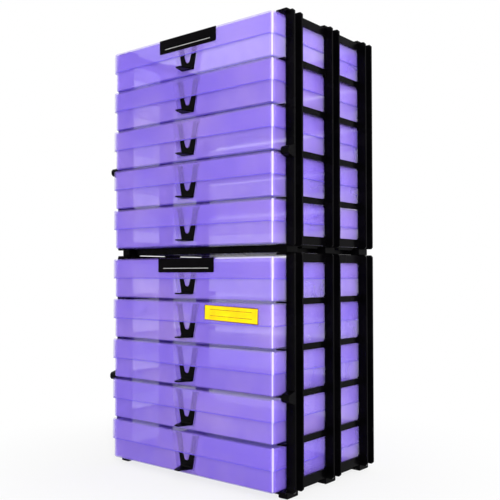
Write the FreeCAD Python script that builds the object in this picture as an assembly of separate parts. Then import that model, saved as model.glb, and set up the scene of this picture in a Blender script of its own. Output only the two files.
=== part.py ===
import FreeCAD, Part
import math
import os

# Two stacked racks of shallow lidded paper boxes.  Each rack is a pair of moulded side frames with
# their runners, a floor panel and one cross tie.  It holds five boxes that slide out like drawers.
# Millimetres.  X points to the right, Y to the back, Z up.  The origin is under the middle of
# the whole stack, on the surface that it stands on.

# ---- paper and boxes -------------------------------------------------------------------------
SHEET_WIDTH = 297.0            # the sheet lies across the box
SHEET_DEPTH = 210.0
SHEET_ROOM_X = 8.0             # finger room beside the sheet
SHEET_ROOM_Y = 8.0
TRAY_WALL = 2.0
LID_WALL = 2.0
LID_TRAY_GAP = 1.0             # between the tray's wall and the inside of the lid's skirt
LID_THICKNESS = 2.0
BOX_HEIGHT = 58.3              # tray's underside to lid's top
SKIRT_DROP = 29.5              # lid's top to the skirt's lower edge
LID_CORNER = 9.0
LID_TOP_EDGE = 1.2
TRAY_FLOOR = 2.0
TRAY_FOOT_EDGE = 1.8

# ---- stacking --------------------------------------------------------------------------------
TIERS = 5                      # boxes in one rack
UNITS = ("lower", "upper")
BOX_SPACE = 2.7                # between a lid and the tray over it
TIE_ABOVE_TIER = 2             # the cross tie runs over this box
BOX_LIFT = 11.3                # lowest tray's underside above the feet

# ---- catch -----------------------------------------------------------------------------------
CATCH_TOP_WIDTH = 39.0         # over both arms, level with the pivot
CATCH_EDGE_WIDTH = 29.5        # level with the skirt's lower edge
CATCH_FOOT_WIDTH = 21.0
CATCH_THICKNESS = 2.0
CATCH_ARM = 7.8                # width of an arm behind the skirt
CATCH_FORK_END = 9.0           # width of the fork's round lower end
CATCH_FOOT_LIFT = 7.4          # catch's lower end above the tray's underside
CATCH_SADDLE_DROP = 11.0       # skirt's lower edge to the bottom of the fork
CATCH_SWING_ROOM = 3.0         # between the arms and the skirt in front of them
CATCH_SIDE_GAP = 7.0           # finger room beside the catch in its pocket
CATCH_FOOT_GAP = 1.0
CATCH_PIVOT_DROP = 3.0         # pivot below the lid's underside
TRUNNION_RADIUS = 1.2
TRUNNION_GAP = 0.15
TAB_REACH = 15.0               # tab's tip in front of the lid's face
TAB_THICKNESS = 1.8
TAB_TIP_WIDTH = 8.0
BOSS_GAP = 0.8                 # around the boss that the fork hooks under
BOSS_PROUD = 0.4               # boss past the catch's front face
LUG_THICKNESS = 1.8
LUG_HALF_DEPTH = 2.0           # of an ear, either side of the pivot
LUG_DROP = 2.2                 # ear's lower end below the pivot
LUG_GAP = 0.3                  # between an arm and the ear beside it
LUG_BACK_GAP = 0.4             # between the ears and the pocket's wall
LUG_MOUTH = 1.9                # snap-in opening, narrower than a trunnion

# ---- lid hinges ------------------------------------------------------------------------------
HINGE_SPREAD = 190.0           # between the two hinges of one box
HINGE_REACH = 4.5              # hooks behind the lid's rear face
HINGE_LIFT = 4.0               # hook's underside above the skirt's lower edge
HOOK_WIDTH = 22.0
HOOK_THICKNESS = 1.8
HOOK_RISE = 6.0
HOOK_GAP = 0.4                 # around a hook in the lid's slot

# ---- side frames -----------------------------------------------------------------------------
WEB_GAP = 2.0                  # between a lid's side and the web
WEB_THICKNESS = 3.0
FLANGE_THICKNESS = 3.0
FLANGE_REACH = 10.8            # flanges past the web's outer face
FLANGE_TIP_EDGE = 0.7
FLANGE_CORNER = 3.0
COLUMN_WIDTH = 20.3
COLUMNS = 3                    # evenly spaced from front to rear
FRAME_SETBACK = 25.5           # first column behind the lids' front faces
FRAME_REAR_INSET = 2.0         # last column in front of the lids' rear faces
COLUMN_RISE = 5.4              # column's top above the top lid
RAIL_BELOW_LID = 2.1
RAIL_ABOVE_LID = 6.5
TOP_RAIL_BELOW_LID = 6.9
TOP_RAIL_STEP = 1.4            # top rail's edge below the column's top
BOTTOM_RAIL_RISE = 11.5        # above the lowest tray's underside
BOTTOM_RAIL_STEP = 2.2
WINDOW_CORNER = 3.2

# ---- runners ---------------------------------------------------------------------------------
RUNNER_REACH = 14.0            # inwards from the web
RUNNER_FRONT = 18.0            # behind the lids' front faces
RUNNER_THICKNESS = 2.0
RUNNER_GAP = 0.35              # between a runner and the tray that stands over it
RUNNER_NOSE = 4.0
TOP_RUNNER_THICKNESS = 3.0
STOP_GAP = 0.35                # between a closed tray and the stop behind it
STOP_THICKNESS = 2.0
STOP_HEIGHT = 6.0

# ---- pegs, feet and lugs ---------------------------------------------------------------------
PEG_WIDTH = 8.5
PEG_LENGTH = 16.5
PEG_HEIGHT = 6.0
PEG_TOP_EDGE = 1.0
SOCKET_GAP = 0.4
FOOT_OUTER_WALL = 2.0
FOOT_INNER_WALL = 3.2
FOOT_END_WALL = 3.1
FOOT_INSET = 2.0               # foot's outer face inside the web's outer face
FOOT_SETBACK = 0.6             # foot's front behind the column's front
FOOT_EDGE = 1.0
HORN_REACH = 13.5              # in front of the front column
HORN_ROOT_HEIGHT = 17.0
HORN_NOSE_HEIGHT = 9.0
HORN_NOSE_EDGE = 2.2

# ---- floor panel and cross tie ---------------------------------------------------------------
PANEL_GAP = 1.5                # beside the feet
PANEL_UNDERSIDE = 1.0          # above the feet's lower faces
PANEL_SETBACK = 10.0           # panel's front behind the front column's face
PANEL_THICKNESS = 2.2
PANEL_RIM = 2.0
PANEL_TRAY_GAP = 0.4
PANEL_CORNER = 3.0
TONGUE_LENGTH = 36.0           # tongues that hold the panel and the tie
TONGUE_THICKNESS = 2.2
TONGUE_GAP = 0.1
TONGUE_END_GAP = 0.5
SNAP_SIZE = 5.0

# ---- worked out ------------------------------------------------------------------------------
TRAY_WIDTH = SHEET_WIDTH + SHEET_ROOM_X + 2 * TRAY_WALL
TRAY_DEPTH = SHEET_DEPTH + SHEET_ROOM_Y + 2 * TRAY_WALL
LID_MARGIN = LID_WALL + LID_TRAY_GAP
LID_WIDTH = TRAY_WIDTH + 2 * LID_MARGIN
LID_DEPTH = TRAY_DEPTH + 2 * LID_MARGIN
TRAY_CORNER = LID_CORNER - LID_MARGIN
SKIRT_Z = BOX_HEIGHT - SKIRT_DROP
RIM_Z = BOX_HEIGHT - LID_THICKNESS
LID_FRONT = (TAB_REACH - LID_DEPTH - HINGE_REACH) / 2
LID_REAR = LID_FRONT + LID_DEPTH
TRAY_FRONT = LID_FRONT + LID_MARGIN
TRAY_REAR = LID_REAR - LID_MARGIN
BOX_PITCH = BOX_HEIGHT + BOX_SPACE
UNIT_HEIGHT = BOX_LIFT + (TIERS - 1) * BOX_PITCH + BOX_HEIGHT + COLUMN_RISE
WEB_INNER = LID_WIDTH / 2 + WEB_GAP
WEB_OUTER = WEB_INNER + WEB_THICKNESS
FLANGE_TIP = WEB_OUTER + FLANGE_REACH
FRAME_FRONT = LID_FRONT + FRAME_SETBACK
FRAME_REAR = LID_REAR - FRAME_REAR_INSET
COLUMN_STEP = (FRAME_REAR - COLUMN_WIDTH - FRAME_FRONT) / (COLUMNS - 1)
COLUMN_FRONTS = [FRAME_FRONT + i * COLUMN_STEP for i in range(COLUMNS)]
BAYS = [(front + COLUMN_WIDTH, front + COLUMN_STEP) for front in COLUMN_FRONTS[:-1]]
RUNNER_INNER = WEB_INNER - RUNNER_REACH
RUNNER_Z = BOX_LIFT - RUNNER_GAP - RUNNER_THICKNESS
FOOT_OUTER = WEB_OUTER - FOOT_INSET
PEG_OUTER = FOOT_OUTER - FOOT_OUTER_WALL - SOCKET_GAP
FOOT_WIDTH = FOOT_OUTER_WALL + FOOT_INNER_WALL + PEG_WIDTH + 2 * SOCKET_GAP
FOOT_LENGTH = PEG_LENGTH + 2 * (SOCKET_GAP + FOOT_END_WALL)
FOOT_INNER = FOOT_OUTER - FOOT_WIDTH
PEG_SETBACK = FOOT_SETBACK + FOOT_END_WALL + SOCKET_GAP
ARM_FRONT = LID_FRONT + LID_WALL + CATCH_SWING_ROOM
PIVOT_Y = ARM_FRONT + CATCH_THICKNESS / 2
POCKET_WALL = PIVOT_Y + LUG_HALF_DEPTH + LUG_BACK_GAP
PIVOT_Z = RIM_Z - CATCH_PIVOT_DROP
SADDLE_Z = SKIRT_Z - CATCH_SADDLE_DROP
HOOK_Z = SKIRT_Z + HINGE_LIFT
HOOK_CENTRES = (-HINGE_SPREAD / 2, HINGE_SPREAD / 2)
TANGENT_LEG = 0.586            # leg of a 45 degree cut that touches an arc of radius 1
OVERCUT = 1.0                  # how far a cutter runs past the face that it opens


def vec(x, y, z):
    return FreeCAD.Vector(x, y, z)


def block(x0, x1, y0, y1, z0, z1):
    """A box between two opposite corners."""
    return Part.makeBox(x1 - x0, y1 - y0, z1 - z0, vec(x0, y0, z0))


def standing_edges(slab):
    """The four upright edges of a plain box."""
    return [e for e in slab.Edges if e.BoundBox.ZLength > slab.BoundBox.ZLength / 2]


def rounded_slab(x0, x1, y0, y1, z0, z1, radius):
    """A box with its four upright edges rounded."""
    slab = block(x0, x1, y0, y1, z0, z1)
    return slab.makeFillet(radius, standing_edges(slab))


def eased_slab(x0, x1, y0, y1, z0, z1, leg):
    """A box with its four upright edges cut off at 45 degrees."""
    slab = block(x0, x1, y0, y1, z0, z1)
    return slab.makeChamfer(leg, standing_edges(slab))


def edges_at(shape, z):
    """The edges of a shape that lie whole at one height."""
    return [e for e in shape.Edges if abs(e.BoundBox.ZMin - z) < 1e-4 and abs(e.BoundBox.ZMax - z) < 1e-4]


def upright_edges(shape, x):
    """The upright edges of a shape at one distance from the middle plane."""
    box = shape.BoundBox
    return [e for e in shape.Edges if e.BoundBox.ZLength > box.ZLength / 2
            and abs(e.BoundBox.XMin - x) < 1e-4 and abs(e.BoundBox.XMax - x) < 1e-4]


def prism(points, direction):
    """A straight prism on a closed polygon of points."""
    face = Part.Face(Part.makePolygon(points + [points[0]]))
    return face.extrude(direction)


def eight_sided_rod(x0, x1, y, z, radius):
    """A rod along X with eight flats, its corners on a circle."""
    spots = [math.radians(45 * i + 22.5) for i in range(8)]
    return prism([vec(x0, y + radius * math.cos(spot), z + radius * math.sin(spot)) for spot in spots], vec(x1 - x0, 0, 0))


def mirrored(shape):
    """The same shape on the other side of the middle plane."""
    return shape.mirror(vec(0, 0, 0), vec(1, 0, 0))


# ---- catch: outline and size at each height --------------------------------------------------

def catch_half_width(z):
    """Half the catch's width, which narrows evenly from the pivot to the skirt's edge and below."""
    if z >= SKIRT_Z:
        share = (z - SKIRT_Z) / (PIVOT_Z - SKIRT_Z)
        return (CATCH_EDGE_WIDTH + share * (CATCH_TOP_WIDTH - CATCH_EDGE_WIDTH)) / 2
    share = (z - CATCH_FOOT_LIFT) / (SKIRT_Z - CATCH_FOOT_LIFT)
    return (CATCH_FOOT_WIDTH + share * (CATCH_EDGE_WIDTH - CATCH_FOOT_WIDTH)) / 2


def catch_outline(grow, low, high, y0, y1):
    """The catch's outline, grown sideways, between two heights and two depths."""
    right = [vec(catch_half_width(z) + grow, y0, z) for z in (low, SKIRT_Z, high)]
    left = [vec(-point.x, point.y, point.z) for point in reversed(right)]
    return prism(right + left, vec(0, y1 - y0, 0))


def fork_gap(shrink, y0, y1):
    """The gap between the two arms, which narrows down to its round end at the saddle."""
    end = CATCH_FORK_END / 2 - shrink
    low = catch_half_width(SKIRT_Z) - CATCH_ARM - shrink
    high = catch_half_width(PIVOT_Z) - CATCH_ARM - shrink
    centre = SADDLE_Z + shrink + end
    top = PIVOT_Z + TRUNNION_RADIUS + OVERCUT
    arc = Part.Arc(vec(-end, y0, centre), vec(0, y0, centre - end), vec(end, y0, centre))
    corners = [vec(end, y0, centre), vec(low, y0, SKIRT_Z), vec(high, y0, top),
               vec(-high, y0, top), vec(-low, y0, SKIRT_Z), vec(-end, y0, centre)]
    wire = Part.Wire([arc.toShape()] + list(Part.makePolygon(corners).Edges))
    return Part.Face(wire).extrude(vec(0, y1 - y0, 0))


def make_catch():
    """Forked plate hung from two trunnions, with a finger tab at its foot."""
    back = ARM_FRONT + CATCH_THICKNESS
    plate = catch_outline(0, CATCH_FOOT_LIFT, PIVOT_Z + TRUNNION_RADIUS, ARM_FRONT, back)
    plate = plate.cut(fork_gap(0, ARM_FRONT - OVERCUT, back + OVERCUT))
    near = catch_half_width(PIVOT_Z) - CATCH_ARM / 2
    far = catch_half_width(PIVOT_Z) + LUG_GAP + LUG_THICKNESS
    plate = plate.fuse(eight_sided_rod(near, far, PIVOT_Y, PIVOT_Z, TRUNNION_RADIUS))
    plate = plate.fuse(eight_sided_rod(-far, -near, PIVOT_Y, PIVOT_Z, TRUNNION_RADIUS))
    return plate.fuse(make_tab()).removeSplitter()


def make_tab():
    """Finger tab: a tongue that narrows to its tip, with a web up to the plate."""
    half = CATCH_FOOT_WIDTH / 2
    half_tip = TAB_TIP_WIDTH / 2
    tip = LID_FRONT - TAB_REACH
    back = ARM_FRONT + CATCH_THICKNESS
    front = ARM_FRONT - TAB_THICKNESS
    low = CATCH_FOOT_LIFT
    tongue = prism([vec(-half, back, low), vec(-half, front, low), vec(-half_tip, tip, low),
                    vec(half_tip, tip, low), vec(half, front, low), vec(half, back, low)],
                   vec(0, 0, TAB_THICKNESS))
    root = low + TAB_THICKNESS
    web = prism([vec(-half, ARM_FRONT, root), vec(-half, front, root), vec(-half, ARM_FRONT, root + TAB_THICKNESS)],
                vec(2 * half, 0, 0))
    return tongue.fuse(web)


# ---- tray ------------------------------------------------------------------------------------

def make_tray():
    """Open tray with a pocket in its front wall for the catch, and two hinge hooks behind."""
    half = TRAY_WIDTH / 2
    body = rounded_slab(-half, half, TRAY_FRONT, TRAY_REAR, 0, RIM_Z, TRAY_CORNER)
    body = body.makeChamfer(TRAY_FOOT_EDGE, edges_at(body, 0))
    inside = eased_slab(-half + TRAY_WALL, half - TRAY_WALL, TRAY_FRONT + TRAY_WALL, TRAY_REAR - TRAY_WALL,
                        TRAY_FLOOR, RIM_Z + OVERCUT, TANGENT_LEG * (TRAY_CORNER - TRAY_WALL))
    sill = CATCH_FOOT_LIFT - CATCH_FOOT_GAP
    grow = CATCH_SIDE_GAP
    backing = catch_outline(grow + TRAY_WALL, 0, RIM_Z + OVERCUT, TRAY_FRONT, POCKET_WALL + TRAY_WALL)
    pocket = catch_outline(grow, sill, RIM_Z + OVERCUT, TRAY_FRONT - OVERCUT, POCKET_WALL)
    body = body.cut(inside.cut(backing)).cut(pocket)
    boss = fork_gap(BOSS_GAP, ARM_FRONT - BOSS_PROUD, POCKET_WALL + TRAY_WALL / 2)
    boss = boss.common(block(-half, half, TRAY_FRONT - OVERCUT, TRAY_REAR, 0, SKIRT_Z))
    body = body.fuse(boss)
    for centre in HOOK_CENTRES:
        body = body.fuse(hinge_hook(centre))
    return body.removeSplitter()


def hinge_hook(centre):
    """Flat hook that leaves the tray's rear wall through the lid's slot and turns up behind it."""
    x = centre - HOOK_WIDTH / 2
    root = TRAY_REAR - TRAY_WALL / 2
    back = LID_REAR + HINGE_REACH
    low = HOOK_Z
    return prism([vec(x, root, low), vec(x, back, low), vec(x, back, low + HOOK_RISE), vec(x, back - HOOK_THICKNESS, low + HOOK_RISE),
                  vec(x, back - HOOK_THICKNESS, low + HOOK_THICKNESS), vec(x, root, low + HOOK_THICKNESS)],
                 vec(HOOK_WIDTH, 0, 0))


# ---- lid -------------------------------------------------------------------------------------

def make_lid():
    """Cap with a deep skirt, two ears for the catch and two slots for the hinge hooks."""
    half = LID_WIDTH / 2
    body = rounded_slab(-half, half, LID_FRONT, LID_REAR, SKIRT_Z, BOX_HEIGHT, LID_CORNER)
    body = body.makeChamfer(LID_TOP_EDGE, edges_at(body, BOX_HEIGHT))
    inside = eased_slab(-half + LID_WALL, half - LID_WALL, LID_FRONT + LID_WALL, LID_REAR - LID_WALL,
                        SKIRT_Z - OVERCUT, RIM_Z, TANGENT_LEG * (LID_CORNER - LID_WALL))
    body = body.cut(inside)
    near = catch_half_width(PIVOT_Z) + LUG_GAP
    body = body.fuse(catch_lug(near)).fuse(catch_lug(-near - LUG_THICKNESS))
    for centre in HOOK_CENTRES:
        x0 = centre - HOOK_WIDTH / 2 - HOOK_GAP
        x1 = centre + HOOK_WIDTH / 2 + HOOK_GAP
        body = body.cut(block(x0, x1, LID_REAR - LID_WALL - OVERCUT, LID_REAR + OVERCUT,
                              HOOK_Z - HOOK_GAP, HOOK_Z + HOOK_THICKNESS + HOOK_GAP))
    return body.removeSplitter()


def catch_lug(x):
    """Ear under the lid with a snap-in bearing, open below, for one trunnion of the catch."""
    bore = TRUNNION_RADIUS + TRUNNION_GAP
    mouth = LUG_MOUTH / 2
    foot = PIVOT_Z - LUG_DROP
    ear = block(x, x + LUG_THICKNESS, PIVOT_Y - LUG_HALF_DEPTH, PIVOT_Y + LUG_HALF_DEPTH, foot, RIM_Z + LID_THICKNESS / 2)
    side = [vec(x, PIVOT_Y + mouth, foot), vec(x, PIVOT_Y + bore, PIVOT_Z - bore / 2), vec(x, PIVOT_Y + bore, PIVOT_Z + bore / 2),
            vec(x, PIVOT_Y + bore / 2, PIVOT_Z + bore)]
    other = [vec(x, 2 * PIVOT_Y - point.y, point.z) for point in reversed(side)]
    return ear.cut(prism(side + other, vec(LUG_THICKNESS, 0, 0)))


# ---- right side frame of one rack ------------------------------------------------------------

def lid_top(tier):
    """Height of the top of a box's lid, tier 1 being the lowest box."""
    return BOX_LIFT + (tier - 1) * BOX_PITCH + BOX_HEIGHT


def runner_level(tier):
    """Height of the underside of the runner that carries a box."""
    return RUNNER_Z + (tier - 1) * BOX_PITCH


def window_heights(tier):
    """Lower and upper edge of the windows beside one box."""
    low = BOX_LIFT + BOTTOM_RAIL_RISE if tier == 1 else lid_top(tier - 1) + RAIL_ABOVE_LID
    high = lid_top(tier) - (TOP_RAIL_BELOW_LID if tier == TIERS else RAIL_BELOW_LID)
    return low, high


def through_web(y0, y1, z0, z1):
    """A cutter that runs through the web."""
    return block(WEB_INNER - OVERCUT, WEB_OUTER + OVERCUT, y0, y1, z0, z1)


def side_window(y0, y1, z0, z1):
    """A cutter through the web with its four corners eased."""
    cutter = through_web(y0, y1, z0, z1)
    return cutter.makeChamfer(WINDOW_CORNER, [e for e in cutter.Edges if e.BoundBox.XLength > WEB_THICKNESS])


def make_web():
    """Flat web of the frame: columns and rails, left standing between two rows of windows."""
    web = block(WEB_INNER, WEB_OUTER, FRAME_FRONT, FRAME_REAR, RUNNER_Z, UNIT_HEIGHT)
    for y0, y1 in BAYS:
        for tier in range(1, TIERS + 1):
            z0, z1 = window_heights(tier)
            web = web.cut(side_window(y0, y1, z0, z1))
        web = web.cut(through_web(y0, y1, UNIT_HEIGHT - TOP_RAIL_STEP, UNIT_HEIGHT + OVERCUT))
        web = web.cut(through_web(y0, y1, RUNNER_Z - OVERCUT, RUNNER_Z + BOTTOM_RAIL_STEP))
    return web


def make_column(y0):
    """Channel that opens outwards, its flanges cut off slanting at both ends."""
    y1 = y0 + COLUMN_WIDTH
    height = UNIT_HEIGHT - RUNNER_Z
    outline = [vec(WEB_INNER, y0, RUNNER_Z), vec(FLANGE_TIP, y0, RUNNER_Z),
               vec(FLANGE_TIP, y0 + FLANGE_THICKNESS, RUNNER_Z), vec(WEB_OUTER, y0 + FLANGE_THICKNESS, RUNNER_Z),
               vec(WEB_OUTER, y1 - FLANGE_THICKNESS, RUNNER_Z), vec(FLANGE_TIP, y1 - FLANGE_THICKNESS, RUNNER_Z),
               vec(FLANGE_TIP, y1, RUNNER_Z), vec(WEB_INNER, y1, RUNNER_Z)]
    channel = prism(outline, vec(0, 0, height))
    channel = channel.makeChamfer(FLANGE_TIP_EDGE, upright_edges(channel, FLANGE_TIP))
    envelope = block(WEB_INNER - FLANGE_REACH, FLANGE_TIP, y0, y1, RUNNER_Z, UNIT_HEIGHT)
    outer = [e for e in envelope.Edges if e.BoundBox.YLength > COLUMN_WIDTH / 2 and abs(e.BoundBox.XMin - FLANGE_TIP) < 1e-4]
    return channel.common(envelope.makeChamfer(FLANGE_CORNER, outer))


def make_runner(z, thickness):
    """Flat runner along the web, its inner front corner cut off, with a shoe before the front column."""
    front = LID_FRONT + RUNNER_FRONT
    plate = block(RUNNER_INNER, WEB_INNER, front, FRAME_REAR, z, z + thickness)
    nose = [e for e in plate.Edges if e.BoundBox.ZLength > thickness / 2 and abs(e.BoundBox.XMin - RUNNER_INNER) < 1e-4
            and abs(e.BoundBox.YMin - front) < 1e-4]
    plate = plate.makeChamfer(RUNNER_NOSE, nose)
    shoe = block(WEB_INNER, WEB_OUTER, front, FRAME_FRONT, z, z + thickness)
    return plate.fuse(shoe)


def make_stop(z):
    """Upstand at the runner's rear end that the closed tray meets."""
    y0 = TRAY_REAR + STOP_GAP
    foot = block(RUNNER_INNER, WEB_INNER, FRAME_REAR - STOP_THICKNESS, y0 + STOP_THICKNESS, z, z + RUNNER_THICKNESS)
    return foot.fuse(block(RUNNER_INNER, WEB_INNER, y0, y0 + STOP_THICKNESS, z, z + RUNNER_THICKNESS + STOP_HEIGHT))


def make_peg(y0):
    """Locating peg on the top runner, with eased upper edges."""
    y = y0 + PEG_SETBACK
    top = UNIT_HEIGHT + PEG_HEIGHT
    peg = block(PEG_OUTER - PEG_WIDTH, PEG_OUTER, y, y + PEG_LENGTH, UNIT_HEIGHT - TOP_RUNNER_THICKNESS / 2, top)
    return peg.makeChamfer(PEG_TOP_EDGE, edges_at(peg, top))


def make_foot(y0):
    """Foot under the lowest runner: four walls around the socket for a peg of the rack below."""
    front = y0 + FOOT_SETBACK
    foot = block(FOOT_INNER, FOOT_OUTER, front, front + FOOT_LENGTH, 0, RUNNER_Z)
    foot = foot.makeChamfer(FOOT_EDGE, edges_at(foot, 0))
    y = y0 + PEG_SETBACK - SOCKET_GAP
    socket = block(PEG_OUTER - PEG_WIDTH - SOCKET_GAP, PEG_OUTER + SOCKET_GAP, y, y + PEG_LENGTH + 2 * SOCKET_GAP,
                   -OVERCUT, RUNNER_Z)
    return foot.cut(socket)


def make_horn():
    """Blunt horn in front of the front column, level with the cross tie."""
    middle = lid_top(TIE_ABOVE_TIER) + (BOX_PITCH - BOX_HEIGHT) / 2
    tip = FRAME_FRONT - HORN_REACH
    root = FRAME_FRONT + FLANGE_THICKNESS / 2
    x = WEB_OUTER - WEB_THICKNESS / 2
    low = HORN_NOSE_HEIGHT / 2
    high = HORN_ROOT_HEIGHT / 2
    horn = prism([vec(x, tip, middle - low), vec(x, FRAME_FRONT, middle - high), vec(x, root, middle - high),
                  vec(x, root, middle + high), vec(x, FRAME_FRONT, middle + high), vec(x, tip, middle + low)],
                 vec(FLANGE_TIP - x, 0, 0))
    nose = [e for e in horn.Edges if e.BoundBox.XLength > 1 and abs(e.BoundBox.YMin - tip) < 1e-4]
    return horn.makeChamfer(HORN_NOSE_EDGE, nose)


def tongue_places():
    """Front edges of the tongues, one in the middle of each bay."""
    return [(y0 + y1 - TONGUE_LENGTH) / 2 for y0, y1 in BAYS]


def make_side_frame():
    """Right side frame of one rack: web, columns and horn in one moulding, with slots for the tie."""
    frame = make_web()
    for y0 in COLUMN_FRONTS:
        frame = frame.fuse(make_column(y0))
    frame = frame.fuse(make_horn())
    low = runner_level(TIE_ABOVE_TIER + 1) - TONGUE_GAP
    high = low + RUNNER_THICKNESS + 2 * TONGUE_GAP
    for y0 in tongue_places():
        frame = frame.cut(through_web(y0 - TONGUE_GAP, y0 + TONGUE_LENGTH + TONGUE_GAP, low, high))
    return frame.removeSplitter()


def make_base_rail():
    """Lowest runner on its three feet, with holes for the floor panel's studs."""
    rail = make_runner(RUNNER_Z, RUNNER_THICKNESS).fuse(make_stop(RUNNER_Z))
    for y0 in COLUMN_FRONTS:
        rail = rail.fuse(make_foot(y0))
    for y0 in tongue_places():
        rail = rail.cut(snap_stud(y0 + TONGUE_LENGTH / 2, TONGUE_GAP))
    return rail.removeSplitter()


def make_runners():
    """The runners between the lowest and the topmost one, apart from the level of the cross tie."""
    runners = []
    for tier in range(2, TIERS + 1):
        if tier != TIE_ABOVE_TIER + 1:
            z = runner_level(tier)
            runners.append(make_runner(z, RUNNER_THICKNESS).fuse(make_stop(z)).removeSplitter())
    return Part.makeCompound(runners)


def make_top_rail():
    """Topmost runner, with the pegs that locate the feet of the next rack."""
    rail = make_runner(UNIT_HEIGHT - TOP_RUNNER_THICKNESS, TOP_RUNNER_THICKNESS)
    for y0 in COLUMN_FRONTS:
        rail = rail.fuse(make_peg(y0))
    return rail.removeSplitter()


def snap_stud(y, grow):
    """Square stud through the lowest runner, or the cutter of its hole when grown."""
    x = (RUNNER_INNER + WEB_INNER) / 2
    half = SNAP_SIZE / 2 + grow
    return block(x - half, x + half, y - half, y + half, RUNNER_Z, RUNNER_Z + RUNNER_THICKNESS)


# ---- floor panel and cross tie ---------------------------------------------------------------

def make_floor_panel():
    """Rimmed floor between the feet, hung under the lowest runners by four snap tongues."""
    half = FOOT_INNER - PANEL_GAP
    y0 = FRAME_FRONT + PANEL_SETBACK
    y1 = FRAME_REAR
    top = BOX_LIFT - PANEL_TRAY_GAP
    floor_top = PANEL_UNDERSIDE + PANEL_THICKNESS
    panel = eased_slab(-half, half, y0, y1, PANEL_UNDERSIDE, top, PANEL_CORNER)
    room = eased_slab(-half + PANEL_RIM, half - PANEL_RIM, y0 + PANEL_RIM, y1 - PANEL_RIM, floor_top, top + OVERCUT,
                      PANEL_CORNER - PANEL_RIM)
    panel = panel.cut(room)
    for y in tongue_places():
        tongue = block(half - PANEL_RIM / 2, WEB_INNER - TONGUE_END_GAP, y, y + TONGUE_LENGTH, RUNNER_Z - TONGUE_THICKNESS, RUNNER_Z)
        tongue = tongue.fuse(snap_stud(y + TONGUE_LENGTH / 2, 0))
        panel = panel.fuse(tongue).fuse(mirrored(tongue))
    return panel.removeSplitter()


def make_cross_tie():
    """Flat shelf from web to web that carries one box and keeps the side frames apart."""
    z = runner_level(TIE_ABOVE_TIER + 1)
    tie = eased_slab(-WEB_INNER, WEB_INNER, LID_FRONT + RUNNER_FRONT, FRAME_REAR, z, z + RUNNER_THICKNESS, RUNNER_NOSE)
    for y in tongue_places():
        tongue = block(WEB_INNER - OVERCUT, WEB_OUTER, y, y + TONGUE_LENGTH, z, z + RUNNER_THICKNESS)
        tie = tie.fuse(tongue).fuse(mirrored(tongue))
    return tie.removeSplitter()


# ---- the whole stack -------------------------------------------------------------------------

def placed(shape, height):
    copy = shape.copy()
    copy.translate(vec(0, 0, height))
    return copy


def make_nodes():
    """Every piece at its place, by name."""
    side_pieces = {"side_frame": make_side_frame(), "base_rail": make_base_rail(),
                   "runners": make_runners(), "top_rail": make_top_rail()}
    box_pieces = {"tray": make_tray(), "lid": make_lid(), "catch": make_catch()}
    rack_pieces = {"floor_panel": make_floor_panel(), "cross_tie": make_cross_tie()}
    for name, shape in side_pieces.items():
        rack_pieces["right_" + name] = shape
        rack_pieces["left_" + name] = mirrored(shape)
    nodes = {}
    for unit, unit_name in enumerate(UNITS):
        base = unit * UNIT_HEIGHT
        for name, shape in rack_pieces.items():
            nodes[unit_name + "_" + name] = placed(shape, base)
        for tier in range(1, TIERS + 1):
            height = base + BOX_LIFT + (tier - 1) * BOX_PITCH
            for name, shape in box_pieces.items():
                nodes["%s_box_%d_%s" % (unit_name, tier, name)] = placed(shape, height)
    return nodes


os.makedirs("parts", exist_ok=True)
for node, shape in make_nodes().items():
    shape.exportStep("parts/" + node + ".step")
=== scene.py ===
from math import cos, radians, sin

import bpy
import numpy as np
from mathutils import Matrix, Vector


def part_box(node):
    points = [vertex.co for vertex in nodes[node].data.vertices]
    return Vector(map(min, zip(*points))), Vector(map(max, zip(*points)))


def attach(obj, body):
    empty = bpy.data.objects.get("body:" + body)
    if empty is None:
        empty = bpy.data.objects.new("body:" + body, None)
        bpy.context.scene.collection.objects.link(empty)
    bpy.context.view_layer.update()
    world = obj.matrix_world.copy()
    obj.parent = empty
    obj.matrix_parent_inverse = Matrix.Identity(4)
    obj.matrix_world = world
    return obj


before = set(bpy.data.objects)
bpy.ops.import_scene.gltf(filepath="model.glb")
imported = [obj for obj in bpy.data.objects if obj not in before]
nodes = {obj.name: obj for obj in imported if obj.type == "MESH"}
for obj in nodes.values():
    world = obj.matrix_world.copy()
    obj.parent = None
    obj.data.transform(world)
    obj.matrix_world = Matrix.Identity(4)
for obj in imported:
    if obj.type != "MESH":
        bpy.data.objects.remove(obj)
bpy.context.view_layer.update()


# ---- Racks ------------------------------------------------------------------------------------
# The two racks are black moulded polypropylene: side frames with their rails and runners, floor
# panels and cross ties.  The skin is a fine eroded satin, rubbed a little paler in places.

UNITS = ("lower", "upper")
RACK_BLACK = (0.0010, 0.0009, 0.0012, 1)
RACK_RUBBED = (0.0026, 0.0023, 0.0030, 1)
RACK_ROUGHNESS = (0.18, 0.30)  # where the cloud is thin, and where it is thick
RACK_GRAIN = 0.08              # strength of the eroded grain
RACK_GLOSS = 0.03              # specular level of the eroded skin
BLACK_CLOUD_SCALE = 24.0       # patches of about 40 mm
BLACK_GRAIN_SCALE = 1100.0     # grain of about 1 mm
RUBBED_FROM_TO = (0.4, 0.7)    # the cloud's range from full black to rubbed
ROUGH_FROM_TO = (0.35, 0.65)   # the cloud's range from the lesser to the greater roughness
CLOUD_SHARE = 0.33             # how much of the cloud is added to the grain's height
SKIN_DEPTH = 0.0004            # height of the skin at full strength, in metres


def blank_material(name):
    """A node material with only a Principled BSDF and its output, and the handles to extend it."""
    material = bpy.data.materials.new(name)
    material.use_nodes = True
    tree = material.node_tree
    tree.nodes.clear()
    shader = tree.nodes.new("ShaderNodeBsdfPrincipled")
    output = tree.nodes.new("ShaderNodeOutputMaterial")
    tree.links.new(shader.outputs["BSDF"], output.inputs["Surface"])
    return material, tree, shader


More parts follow.
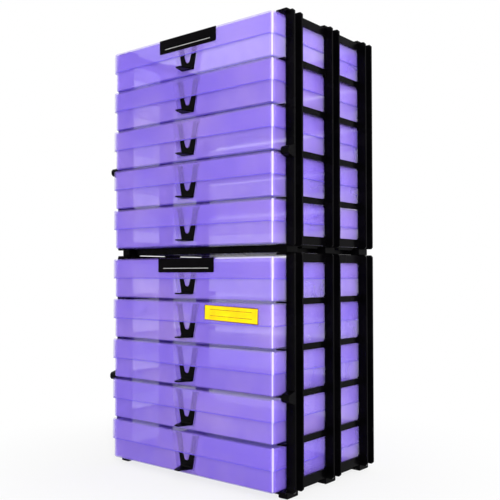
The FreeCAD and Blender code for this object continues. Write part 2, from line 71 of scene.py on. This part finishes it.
def add_node(tree, kind, inputs=None, **settings):
    """A new node with its settings, and its inputs set to numbers or linked to sockets."""
    node = tree.nodes.new(kind)
    for key, value in settings.items():
        setattr(node, key, value)
    for key, value in (inputs or {}).items():
        if isinstance(value, bpy.types.NodeSocket):
            tree.links.new(value, node.inputs[key])
        else:
            node.inputs[key].default_value = value
    return node


def new_group(name, values, results):
    """An empty node group that takes a Vector and the named values and puts out the results, given
    as pairs of name and socket type.  Returns the tree, its inner inputs and its inner outlet."""
    tree = bpy.data.node_groups.new(name, "ShaderNodeTree")
    tree.interface.new_socket("Vector", in_out="INPUT", socket_type="NodeSocketVector")
    for value in values:
        tree.interface.new_socket(value, in_out="INPUT", socket_type="NodeSocketFloat")
    for result, kind in results:
        tree.interface.new_socket(result, in_out="OUTPUT", socket_type=kind)
    return tree, tree.nodes.new("NodeGroupInput").outputs, tree.nodes.new("NodeGroupOutput")


def build_moulding_group():
    """Moulded skin: a slow cloudy mask, and a normal from the cloud and a fine grain.
    height = grain + a third of the cloud, both from noise on the given coordinates."""
    tree, given, outlet = new_group("moulded_skin", ("Cloud Scale", "Grain Scale", "Grain Depth"),
                                    (("Cloud", "NodeSocketFloat"), ("Normal", "NodeSocketVector")))
    cloud = add_node(tree, "ShaderNodeTexNoise",
                     {"Vector": given["Vector"], "Scale": given["Cloud Scale"],
                      "Detail": 3.0, "Roughness": 0.55})
    grain = add_node(tree, "ShaderNodeTexNoise",
                     {"Vector": given["Vector"], "Scale": given["Grain Scale"], "Detail": 1.0})
    height = add_node(tree, "ShaderNodeMath",
                      {0: cloud.outputs["Fac"], 1: CLOUD_SHARE, 2: grain.outputs["Fac"]},
                      operation="MULTIPLY_ADD")
    bump = add_node(tree, "ShaderNodeBump",
                    {"Strength": given["Grain Depth"], "Distance": SKIN_DEPTH,
                     "Height": height.outputs["Value"]})
    tree.links.new(cloud.outputs["Fac"], outlet.inputs["Cloud"])
    tree.links.new(bump.outputs["Normal"], outlet.inputs["Normal"])
    return tree


moulded_skin = build_moulding_group()


def add_skin(tree, shift, cloud_scale, grain_scale, grain_depth):
    """The moulded skin on the piece's own coordinates, slid by shift so that like pieces differ."""
    place = add_node(tree, "ShaderNodeTexCoord")
    moved = add_node(tree, "ShaderNodeMapping",
                     {"Vector": place.outputs["Object"], "Location": shift})
    return add_node(tree, "ShaderNodeGroup",
                    {"Vector": moved.outputs["Vector"], "Cloud Scale": cloud_scale,
                     "Grain Scale": grain_scale, "Grain Depth": grain_depth},
                    node_tree=moulded_skin)


def blend_by_cloud(tree, shader, skin, colours, colour_range, roughness):
    """Roughness runs between two ends with the skin's cloudy mask, and so does the colour, whose
    socket is returned.  The skin's normal goes to the shader."""
    share = add_node(tree, "ShaderNodeMapRange",
                     {"Value": skin.outputs["Cloud"],
                      "From Min": colour_range[0], "From Max": colour_range[1]})
    colour = add_node(tree, "ShaderNodeMix",
                      {0: share.outputs["Result"], 6: colours[0], 7: colours[1]},
                      data_type="RGBA")
    rough = add_node(tree, "ShaderNodeMapRange",
                     {"Value": skin.outputs["Cloud"],
                      "From Min": ROUGH_FROM_TO[0], "From Max": ROUGH_FROM_TO[1],
                      "To Min": roughness[0], "To Max": roughness[1]})
    tree.links.new(rough.outputs["Result"], shader.inputs["Roughness"])
    tree.links.new(skin.outputs["Normal"], shader.inputs["Normal"])
    return colour.outputs[2]


def black_plastic(name, colours, roughness, grain_depth, gloss):
    """Black plastic that is rubbed paler in places."""
    material, tree, shader = blank_material(name)
    skin = add_skin(tree, (0, 0, 0), BLACK_CLOUD_SCALE, BLACK_GRAIN_SCALE, grain_depth)
    colour = blend_by_cloud(tree, shader, skin, colours, RUBBED_FROM_TO, roughness)
    tree.links.new(colour, shader.inputs["Base Color"])
    shader.inputs["Specular IOR Level"].default_value = gloss
    return material


def dress(node_name, material):
    """Puts one material into every slot of a CAD node's object."""
    for slot in nodes[node_name].material_slots:
        slot.material = material


rack_plastic = black_plastic("rack_plastic", (RACK_BLACK, RACK_RUBBED), RACK_ROUGHNESS,
                             RACK_GRAIN, RACK_GLOSS)
for unit in UNITS:
    for piece in ("floor_panel", "cross_tie"):
        dress(unit + "_" + piece, rack_plastic)
    for side in ("left", "right"):
        for piece in ("side_frame", "base_rail", "runners", "top_rail"):
            dress("%s_%s_%s" % (unit, side, piece), rack_plastic)


# ---- Trays and lids ---------------------------------------------------------------------------
# Ten boxes of thin violet polypropylene, each a moulded tray and lid.  Each face is a film of haze
# that lets the rest of the light through, so the catch and the far walls show softly.  A painted
# highlight makes the plastic paler and hazier on the upright corners, in place of a lamp's
# reflection, and painted shade deepens it along the lid's lower rim and the tray's underside.

TIERS = (1, 2, 3, 4, 5)
VIOLET = (0.34, 0.212, 1.0, 1)
LILAC = (0.46, 0.305, 0.985, 1)
LILAC_FROM_TO = (0.40, 0.68)   # the cloud's range from full violet to lilac
BATCH_STEP = (0.37, 0.21)      # shift of the cloud from one tier to the next
BATCH_UNIT = 0.5               # and from one rack to the other
BOX_CLOUD_SCALE = 9.0          # patches of about 110 mm
BOX_GRAIN_SCALE = 420.0        # grain of about 2.5 mm
BOX_GRAIN = 0.03               # strength
BOX_ROUGHNESS = (0.08, 0.15)
BOX_GLOSS = 0.5                # specular level of the polished faces
LID_HAZE = 0.28                # share of the light that one face of a wall scatters
TRAY_HAZE = 0.42

# Painted highlight: the upright corners get a pale colour and more haze, in place of a lamp's
# reflection down each corner.
CORNER_HIGHLIGHT_COLOUR = (0.80, 0.72, 1.0, 1)
CORNER_HIGHLIGHT_HAZE = 0.62
CORNER_MIDDLE_Y = 0.00525      # the boxes' middle, from front to rear
CORNER_AXIS_X = 0.1485         # the upright axes that the corners are round
CORNER_AXIS_Y = 0.105          # before and behind the middle
CORNER_HIGHLIGHT_FROM_TO = (0.5, 0.66)   # shares of the radius at which the pale mask starts and is full
LID_CORNER = 0.009             # outer radius
TRAY_CORNER = 0.006

# Painted shade: a deeper, hazier line along the lid's lower rim and the tray's underside.
RIM_SHADE_COLOUR = (0.20, 0.125, 0.84, 1)
RIM_SHADE_HAZE = 0.5
RIM_FROM_TO = (0.0011, 0.0005)  # distances from the rim at which its line starts and is full
RIM_RISE = 0.0294              # skirt's lower rim above the tray's underside
LOWEST_BOX = 0.0113            # lowest tray's underside above the floor
UNIT_PITCH = 0.319
BOX_PITCH = 0.061


def maths(tree, operation, first, second=0.0):
    """The output of one Math node."""
    return add_node(tree, "ShaderNodeMath", {0: first, 1: second},
                    operation=operation).outputs["Value"]


def build_corner_highlight_group():
    """Mask of the upright corners, where a pale painted highlight stands in for a lamp's
    reflection.
    share = the lesser of |x| - axis x and |y - middle| - axis y, over the corner's radius; the
    mask rises smoothly from 0 to 1 as the share goes from the first limit to the second."""
    tree, given, outlet = new_group("painted_corner_highlight", ("Radius",),
                                    (("Highlight", "NodeSocketFloat"),))
    axes = add_node(tree, "ShaderNodeSeparateXYZ", {"Vector": given["Vector"]}).outputs
    across = maths(tree, "SUBTRACT", maths(tree, "ABSOLUTE", axes["X"]), CORNER_AXIS_X)
    deep = maths(tree, "ABSOLUTE", maths(tree, "SUBTRACT", axes["Y"], CORNER_MIDDLE_Y))
    along = maths(tree, "SUBTRACT", deep, CORNER_AXIS_Y)
    share = maths(tree, "DIVIDE", maths(tree, "MINIMUM", across, along), given["Radius"])
    mask = add_node(tree, "ShaderNodeMapRange",
                    {"Value": share,
                     "From Min": CORNER_HIGHLIGHT_FROM_TO[0], "From Max": CORNER_HIGHLIGHT_FROM_TO[1]},
                    interpolation_type="SMOOTHSTEP")
    tree.links.new(mask.outputs["Result"], outlet.inputs["Highlight"])
    return tree


def build_rim_shade_group():
    """Mask of the painted shade line along a level rim: it rises from 0 to 1 as |z - height| falls
    from the first limit to the second."""
    tree, given, outlet = new_group("painted_rim_shade", ("Height",), (("Shade", "NodeSocketFloat"),))
    level = add_node(tree, "ShaderNodeSeparateXYZ", {"Vector": given["Vector"]}).outputs["Z"]
    off = maths(tree, "ABSOLUTE", maths(tree, "SUBTRACT", level, given["Height"]))
    mask = add_node(tree, "ShaderNodeMapRange",
                    {"Value": off, "From Min": RIM_FROM_TO[0], "From Max": RIM_FROM_TO[1]})
    tree.links.new(mask.outputs["Result"], outlet.inputs["Shade"])
    return tree


painted_corner_highlight = build_corner_highlight_group()
painted_rim_shade = build_rim_shade_group()


def hazy_plastic(name, shift, haze, corner_radius, rim_height):
    """Hazy coloured plastic: each face scatters part of the light and the rest passes through.
    A painted highlight makes it paler and makes it scatter more on the upright corners, and painted
    shade makes it deeper in colour along a rim."""
    material, tree, shader = blank_material(name)
    skin = add_skin(tree, shift, BOX_CLOUD_SCALE, BOX_GRAIN_SCALE, BOX_GRAIN)
    cloudy = blend_by_cloud(tree, shader, skin, (VIOLET, LILAC), LILAC_FROM_TO, BOX_ROUGHNESS)
    place = add_node(tree, "ShaderNodeTexCoord").outputs["Object"]
    corner = add_node(tree, "ShaderNodeGroup", {"Vector": place, "Radius": corner_radius},
                      node_tree=painted_corner_highlight).outputs["Highlight"]
    rim = add_node(tree, "ShaderNodeGroup", {"Vector": place, "Height": rim_height},
                   node_tree=painted_rim_shade).outputs["Shade"]
    # Painted shade deepens the colour along the rim, and the painted highlight turns the upright
    # corners pale.
    deep = add_node(tree, "ShaderNodeMix", {0: rim, 6: cloudy, 7: RIM_SHADE_COLOUR}, data_type="RGBA")
    colour = add_node(tree, "ShaderNodeMix", {0: corner, 6: deep.outputs[2], 7: CORNER_HIGHLIGHT_COLOUR},
                      data_type="RGBA")
    rim_shaded_haze = add_node(tree, "ShaderNodeMapRange",
                         {"Value": rim, "To Min": haze, "To Max": RIM_SHADE_HAZE})
    share = add_node(tree, "ShaderNodeMapRange",
                     {"Value": corner, "To Min": rim_shaded_haze.outputs["Result"],
                      "To Max": CORNER_HIGHLIGHT_HAZE})
    tree.links.new(colour.outputs[2], shader.inputs["Base Color"])
    tree.links.new(share.outputs["Result"], shader.inputs["Alpha"])
    shader.inputs["Specular IOR Level"].default_value = BOX_GLOSS
    return material


for rack, unit in enumerate(UNITS):
    for tier in TIERS:
        box_name = "%s_box_%d" % (unit, tier)
        batch = (BATCH_STEP[0] * tier, BATCH_STEP[1] * tier, BATCH_UNIT * rack)
        # The lid's lower rim and the tray's underside are where the painted shade line goes.
        underside = LOWEST_BOX + UNIT_PITCH * rack + BOX_PITCH * (tier - 1)
        dress(box_name + "_lid",
              hazy_plastic(box_name + "_lid_plastic", batch, LID_HAZE, LID_CORNER,
                           underside + RIM_RISE))
        dress(box_name + "_tray",
              hazy_plastic(box_name + "_tray_plastic", batch, TRAY_HAZE, TRAY_CORNER, underside))


# ---- Catches ----------------------------------------------------------------------------------
# Each box is closed by a fork of smooth black plastic that hangs from the lid and hooks under a
# boss in the tray's pocket, with a finger tab at its foot.

CATCH_BLACK = (0.0011, 0.0010, 0.0013, 1)
CATCH_WORN = (0.0028, 0.0025, 0.0031, 1)
CATCH_ROUGHNESS = (0.26, 0.36)
CATCH_GRAIN = 0.05
CATCH_GLOSS = 0.03

catch_plastic = black_plastic("catch_plastic", (CATCH_BLACK, CATCH_WORN), CATCH_ROUGHNESS,
                              CATCH_GRAIN, CATCH_GLOSS)
for unit in UNITS:
    for tier in TIERS:
        dress("%s_box_%d_catch" % (unit, tier), catch_plastic)


# ---- Labels -----------------------------------------------------------------------------------
# Printed vinyl labels stuck on three lids: a long black one at the top edge of each rack's top
# lid, and a small yellow one, put on by hand and a little askew.  Each has ruled lines to write on.

LID_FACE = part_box("upper_box_5_lid")[0][1]
VINYL = 0.00025                # thickness
VINYL_EDGE = 0.7               # share of the thickness that its upright edge takes
GLUE = 0.00005                 # between the lid's face and the label
CORNER_POINTS = 6              # to each quarter turn
VINYL_ROUGHNESS = 0.30
VINYL_GLOSS = 0.02
VINYL_CLOUD_SCALE = 60.0
VINYL_GRAIN_SCALE = 1500.0
VINYL_GRAIN = 0.04
WORN_FROM_TO = (0.35, 0.7)     # the cloud's range from the first ground colour to the second

BLACK_VINYL = ((0.0012, 0.0010, 0.0014, 1), (0.0024, 0.0021, 0.0027, 1))
PALE_INK = (0.62, 0.62, 0.60, 1)
BLACK_EDGES = (("upper", -0.0516, 0.0591, 0.6121, 0.6325),  # rack, left, right, low, high
               ("lower", -0.0529, 0.0557, 0.2932, 0.3134))
BLACK_CORNERS = (0.0004, 0.0016, 0.0016, 0.0004)  # radii, sharper at the lid's top edge
BLACK_LINES = (-0.0042,)       # the ruled lines' heights from the label's middle
BLACK_HALF_LENGTH = 0.044
BLACK_LINE_WIDTH = 0.0007
NO_BORDER = (1.0, 1.0)         # beyond the label's edges

YELLOW_VINYL = ((1.0, 0.64, 0.012, 1), (1.0, 0.78, 0.01, 1))
BROWN_INK = (0.16, 0.075, 0.02, 1)
YELLOW_OUTLINE = ((0.0388, 0.2488), (0.0388, 0.2285), (0.1332, 0.2247), (0.1332, 0.2462))
YELLOW_CORNERS = (0.0008, 0.0008, 0.0008, 0.0008)
YELLOW_CENTRE = (0.086, 0.23705)
YELLOW_TILT = -1.9             # degrees
YELLOW_LINES = (-0.0040, 0.0046)
YELLOW_HALF_LENGTH = 0.037
YELLOW_LINE_WIDTH = 0.0006
YELLOW_BORDER = (0.0463, 0.0096)  # half width and half height inside the border


def add_label(name, body, corners, radii, material):
    """A thin plate with round corners on a lid's front.
    Outline: at each corner a quarter turn, corner + r (1 - sin t) to one side + r (1 - cos t) to
    the other.  Rings: the glued edge, the front edge, and a ring set in by the vinyl's thickness,
    with a pole in the middle of the back and of the front."""
    corners = np.array(corners, float)
    middle = corners.mean(axis=0)
    turn = np.linspace(0, np.pi / 2, CORNER_POINTS)[:, None]
    before = np.roll(corners, 1, axis=0) - corners
    after = np.roll(corners, -1, axis=0) - corners
    before /= np.linalg.norm(before, axis=1)[:, None]
    after /= np.linalg.norm(after, axis=1)[:, None]
    outline = np.vstack([
        corners[i] + radii[i] * ((1 - np.sin(turn)) * before[i] + (1 - np.cos(turn)) * after[i])
        for i in range(len(corners))])
    count = len(outline)
    inwards = (middle - outline) / np.linalg.norm(middle - outline, axis=1)[:, None]
    rings = ((outline, LID_FACE - GLUE),
             (outline, LID_FACE - GLUE - VINYL_EDGE * VINYL),
             (outline + inwards * VINYL, LID_FACE - GLUE - VINYL))
    points = [np.column_stack([ring[:, 0], np.full(count, depth), ring[:, 1]])
              for ring, depth in rings]
    poles = [[middle[0], depth, middle[1]] for depth in (rings[0][1], rings[-1][1])]
    here = np.arange(count)
    there = (here + 1) % count
    sides = [np.column_stack([here + r, there + r, there + r + count, here + r + count])
             for r in (0, count)]
    back = np.column_stack([np.full(count, 3 * count), there, here])
    front = np.column_stack([np.full(count, 3 * count + 1), here + 2 * count, there + 2 * count])
    mesh = bpy.data.meshes.new(name)
    mesh.from_pydata(np.vstack(points + [poles]).tolist(), [],
                     np.vstack(sides).tolist() + back.tolist() + front.tolist())
    mesh.materials.append(material)
    label = bpy.data.objects.new(name, mesh)
    bpy.context.scene.collection.objects.link(label)
    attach(label, body)
    return label


def ruled_vinyl(name, centre, tilt, grounds, ink, lines, half_length, line_width, border):
    """Vinyl with ruled lines, on coordinates centred on the label and turned with it: ink shows
    where |z - line| < width / 2 and |x| < half_length, and outside the border's rectangle."""
    material, tree, shader = blank_material(name)
    place = add_node(tree, "ShaderNodeTexCoord")
    centred = add_node(tree, "ShaderNodeVectorMath",
                       {0: place.outputs["Object"], 1: (centre[0], 0.0, centre[1])},
                       operation="SUBTRACT")
    level = add_node(tree, "ShaderNodeMapping",
                     {"Vector": centred.outputs["Vector"], "Rotation": (0, radians(tilt), 0)})
    axes = add_node(tree, "ShaderNodeSeparateXYZ", {"Vector": level.outputs["Vector"]}).outputs
    across = maths(tree, "ABSOLUTE", axes["X"])
    rise = maths(tree, "ABSOLUTE", axes["Z"])
    within = maths(tree, "LESS_THAN", across, half_length)
    marks = maths(tree, "MAXIMUM", maths(tree, "GREATER_THAN", across, border[0]),
                  maths(tree, "GREATER_THAN", rise, border[1]))
    for line in lines:
        off = maths(tree, "ABSOLUTE", maths(tree, "SUBTRACT", axes["Z"], line))
        drawn = maths(tree, "MULTIPLY", maths(tree, "LESS_THAN", off, line_width / 2), within)
        marks = maths(tree, "MAXIMUM", marks, drawn)
    skin = add_skin(tree, (0, 0, 0), VINYL_CLOUD_SCALE, VINYL_GRAIN_SCALE, VINYL_GRAIN)
    worn = add_node(tree, "ShaderNodeMapRange",
                    {"Value": skin.outputs["Cloud"],
                     "From Min": WORN_FROM_TO[0], "From Max": WORN_FROM_TO[1]})
    ground = add_node(tree, "ShaderNodeMix",
                      {0: worn.outputs["Result"], 6: grounds[0], 7: grounds[1]},
                      data_type="RGBA")
    colour = add_node(tree, "ShaderNodeMix", {0: marks, 6: ground.outputs[2], 7: ink},
                      data_type="RGBA")
    tree.links.new(colour.outputs[2], shader.inputs["Base Color"])
    tree.links.new(skin.outputs["Normal"], shader.inputs["Normal"])
    shader.inputs["Roughness"].default_value = VINYL_ROUGHNESS
    shader.inputs["Specular IOR Level"].default_value = VINYL_GLOSS
    return material


for unit, left, right, low, high in BLACK_EDGES:
    black_vinyl = ruled_vinyl(unit + "_label_vinyl", ((left + right) / 2, (low + high) / 2), 0.0,
                              BLACK_VINYL, PALE_INK, BLACK_LINES, BLACK_HALF_LENGTH,
                              BLACK_LINE_WIDTH, NO_BORDER)
    black_label = add_label(unit + "_label", unit + "_box_5",
                            ((left, high), (left, low), (right, low), (right, high)),
                            BLACK_CORNERS, black_vinyl)

yellow_vinyl = ruled_vinyl("yellow_label_vinyl", YELLOW_CENTRE, YELLOW_TILT, YELLOW_VINYL,
                           BROWN_INK, YELLOW_LINES, YELLOW_HALF_LENGTH, YELLOW_LINE_WIDTH,
                           YELLOW_BORDER)
yellow_label = add_label("yellow_label", "lower_box_4", YELLOW_OUTLINE, YELLOW_CORNERS,
                         yellow_vinyl)


# ---- Room, lights and camera ------------------------------------------------------------------
# A white floor runs into a white room.  A tall strip key stands to the right of the camera, with a
# weak panel beside it that only gloss shows, and three soft fills light the sides and the back.

FLOOR_RADII = (0.6, 1.5, 4.0, 12.0)
FLOOR_SPOKES = 96
FLOOR_WHITE = (0.95, 0.95, 0.95, 1)
SHADOW_FROM_TO = (0.16, 0.55)  # distances at which the floor starts to fade and is plain white
SHADOW_WHITE = 0.78            # share of plain white under the object
WHITE = (1, 1, 1, 1)
ROOM_LIGHT = 0.5               # the room's strength as a light
ROOM_WHITE = 1.0               # and where it is seen
LAMP_TARGET = (0.0, 0.0, 0.32)
CAMERA_PLACE = (0.72833, -0.85241, 0.29086)
CAMERA_TURN = 39.307           # degrees from looking along +Y, to the left
CAMERA_PITCH = 1.876           # degrees above level
CAMERA_NEAREST = 0.05
FOCAL_PIXELS = 734.26
FRAME_PIXELS = 500
SENSOR_MM = 36.0


def add_floor():
    """A flat disc on z = 0, many times as wide as the object: rings of (r cos t, r sin t)."""
    turn = np.linspace(0, 2 * np.pi, FLOOR_SPOKES + 1)[:-1]
    across = np.outer(FLOOR_RADII, np.cos(turn)).ravel()
    deep = np.outer(FLOOR_RADII, np.sin(turn)).ravel()
    points = np.vstack([[0, 0, 0], np.column_stack([across, deep, np.zeros(len(across))])])
    here = 1 + np.arange(FLOOR_SPOKES)
    there = 1 + (np.arange(FLOOR_SPOKES) + 1) % FLOOR_SPOKES
    faces = np.column_stack([np.zeros(FLOOR_SPOKES, int), here, there]).tolist()
    for ring in range(len(FLOOR_RADII) - 1):
        inner, outer = ring * FLOOR_SPOKES, (ring + 1) * FLOOR_SPOKES
        faces += np.column_stack([here + inner, here + outer,
                                  there + outer, there + inner]).tolist()
    mesh = bpy.data.meshes.new("floor")
    mesh.from_pydata(points.tolist(), [], faces)
    disc = bpy.data.objects.new("floor", mesh)
    bpy.context.scene.collection.objects.link(disc)
    return disc


def add_seen(tree):
    """1 for a ray from the camera, from a glossy face or through a clear one, and 0 for light."""
    path = add_node(tree, "ShaderNodeLightPath").outputs
    return maths(tree, "MAXIMUM",
                 maths(tree, "MAXIMUM", path["Is Camera Ray"], path["Is Glossy Ray"]),
                 path["Is Transmission Ray"])


def floor_material():
    """White floor: diffuse near the object, where its shadow falls, and plain white further out.
    White share = seen times a value that rises smoothly to 1 with the distance from the middle."""
    material = bpy.data.materials.new("white_floor")
    material.use_nodes = True
    tree = material.node_tree
    tree.nodes.clear()
    place = add_node(tree, "ShaderNodeTexCoord")
    distance = add_node(tree, "ShaderNodeVectorMath", {0: place.outputs["Object"]},
                        operation="LENGTH")
    far = add_node(tree, "ShaderNodeMapRange",
                   {"Value": distance.outputs["Value"],
                    "From Min": SHADOW_FROM_TO[0], "From Max": SHADOW_FROM_TO[1],
                    "To Min": SHADOW_WHITE}, interpolation_type="SMOOTHSTEP")
    white = maths(tree, "MULTIPLY", add_seen(tree), far.outputs["Result"])
    diffuse = add_node(tree, "ShaderNodeBsdfDiffuse", {"Color": FLOOR_WHITE})
    glow = add_node(tree, "ShaderNodeEmission", {"Color": WHITE, "Strength": ROOM_WHITE})
    mixed = add_node(tree, "ShaderNodeMixShader",
                     {0: white, 1: diffuse.outputs["BSDF"], 2: glow.outputs["Emission"]})
    output = tree.nodes.new("ShaderNodeOutputMaterial")
    tree.links.new(mixed.outputs["Shader"], output.inputs["Surface"])
    return material


def add_lamp(name, azimuth, elevation, distance, width, height, power):
    """A rectangular lamp on a sphere round the target, facing it: azimuth 0 is straight in front
    of the object, and 90 is to its right."""
    level = cos(radians(elevation))
    out = np.array([sin(radians(azimuth)) * level, -cos(radians(azimuth)) * level,
                    sin(radians(elevation))])
    data = bpy.data.lights.new(name, "AREA")
    data.shape = "RECTANGLE"
    data.size = width
    data.size_y = height
    data.energy = power
    lamp = bpy.data.objects.new(name, data)
    lamp.location = (np.array(LAMP_TARGET) + out * distance).tolist()
    lamp.rotation_euler = (radians(90 - elevation), 0, radians(azimuth))
    bpy.context.scene.collection.objects.link(lamp)
    return lamp


floor = add_floor()
floor.data.materials.append(floor_material())

world = bpy.data.worlds.new("white_room")
world.use_nodes = True
sky = world.node_tree
sky.nodes.clear()
room_light = add_node(sky, "ShaderNodeBackground", {"Color": WHITE, "Strength": ROOM_LIGHT})
room_white = add_node(sky, "ShaderNodeBackground", {"Color": WHITE, "Strength": ROOM_WHITE})
sky_mix = add_node(sky, "ShaderNodeMixShader",
                   {0: add_seen(sky), 1: room_light.outputs["Background"],
                    2: room_white.outputs["Background"]})
sky_output = sky.nodes.new("ShaderNodeOutputWorld")
sky.links.new(sky_mix.outputs["Shader"], sky_output.inputs["Surface"])
bpy.context.scene.world = world

strip_key = add_lamp("strip_key", azimuth=48, elevation=14, distance=2.6,
                     width=0.22, height=2.0, power=57)
strip_key.visible_glossy = False
gloss_panel = add_lamp("gloss_panel", azimuth=52.4, elevation=0, distance=2.6,
                       width=0.22, height=2.6, power=22)
gloss_panel.visible_diffuse = False
gloss_panel.visible_transmission = False
add_lamp("left_fill", azimuth=-80, elevation=25, distance=2.8, width=1.0, height=1.4, power=8)
add_lamp("right_fill", azimuth=112, elevation=25, distance=2.8, width=1.0, height=1.6, power=14)
add_lamp("back_fill", azimuth=178, elevation=25, distance=2.8, width=1.0, height=1.6, power=12)

camera_data = bpy.data.cameras.new("camera")
camera_data.sensor_width = SENSOR_MM
camera_data.lens = FOCAL_PIXELS / FRAME_PIXELS * SENSOR_MM
camera_data.clip_start = CAMERA_NEAREST
camera = bpy.data.objects.new("camera", camera_data)
camera.location = CAMERA_PLACE
camera.rotation_euler = (radians(90 + CAMERA_PITCH), 0, radians(CAMERA_TURN))
bpy.context.scene.collection.objects.link(camera)
bpy.context.scene.camera = camera
bpy.context.scene.view_settings.view_transform = "Standard"
